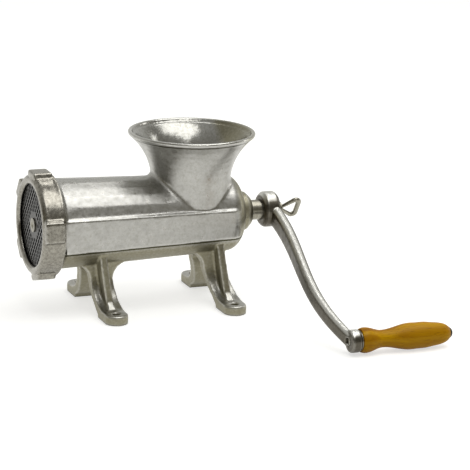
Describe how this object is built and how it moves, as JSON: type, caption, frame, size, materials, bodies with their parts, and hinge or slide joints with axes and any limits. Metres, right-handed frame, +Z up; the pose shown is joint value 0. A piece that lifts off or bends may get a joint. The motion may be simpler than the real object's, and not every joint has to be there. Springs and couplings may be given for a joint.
{
  "type": "hand crank meat grinder",
  "caption": "Bench-mounted hand crank meat grinder: tinned iron body with round hopper and bolt-down legs, lugged ring nut, perforated plate, feed screw, knife, crank and wooden grip.",
  "frame": {"origin": "centre of the four foot holes, on the bench surface", "axes": "+X along the grinding axis from the plate towards the crank, +Y to the far side from the resting grip, +Z up"},
  "size_m": [0.4096, 0.3483, 0.2014],
  "materials": {
    "tinned_iron": "hot-dip tinned, bright and slightly mottled",
    "cutter_steel": "ground tool steel",
    "plain_steel": "turned steel",
    "bush_brass": "turned",
    "fibre": "pressed fibre",
    "varnished_wood": "clear varnish"
  },
  "bodies": {
    "housing": {"body_casting": "tinned_iron", "rear_bush": "bush_brass", "thrust_washer": "fibre", "plate": "cutter_steel", "plate_key": "plain_steel"},
    "drive": {"feed_screw": "tinned_iron", "drive_shank": "plain_steel", "shank_pin": "plain_steel", "knife_stud": "plain_steel", "knife": "cutter_steel", "crank_arm": "tinned_iron", "clamp_washer": "plain_steel", "grip_spindle": "plain_steel", "inner_washer": "plain_steel", "end_washer": "plain_steel"},
    "ring": {"ring_nut": "tinned_iron"},
    "clamp_screw": {"thumbscrew": "plain_steel"},
    "handle": {"grip": "varnished_wood"}
  },
  "joints": [
    {"name": "drive_spin", "type": "hinge", "parent": "housing", "child": "drive", "pos_m": [0, 0, 0.102], "axis": [1, 0, 0], "continuous": true},
    {"name": "grip_spin", "type": "hinge", "parent": "drive", "child": "handle", "pos_m": [0.2, -0.25135, 0.01496], "axis": [1, 0, 0], "continuous": true},
    {"name": "ring_turn", "type": "hinge", "parent": "housing", "child": "ring", "pos_m": [-0.14, 0, 0.102], "axis": [-1, 0, 0], "range_deg": [0, 990]},
    {"name": "thumbscrew_turn", "type": "hinge", "parent": "drive", "child": "clamp_screw", "pos_m": [0.15, 0, 0.102], "axis": [-1, 0, 0], "range_deg": [0, 2400]}
  ]
}
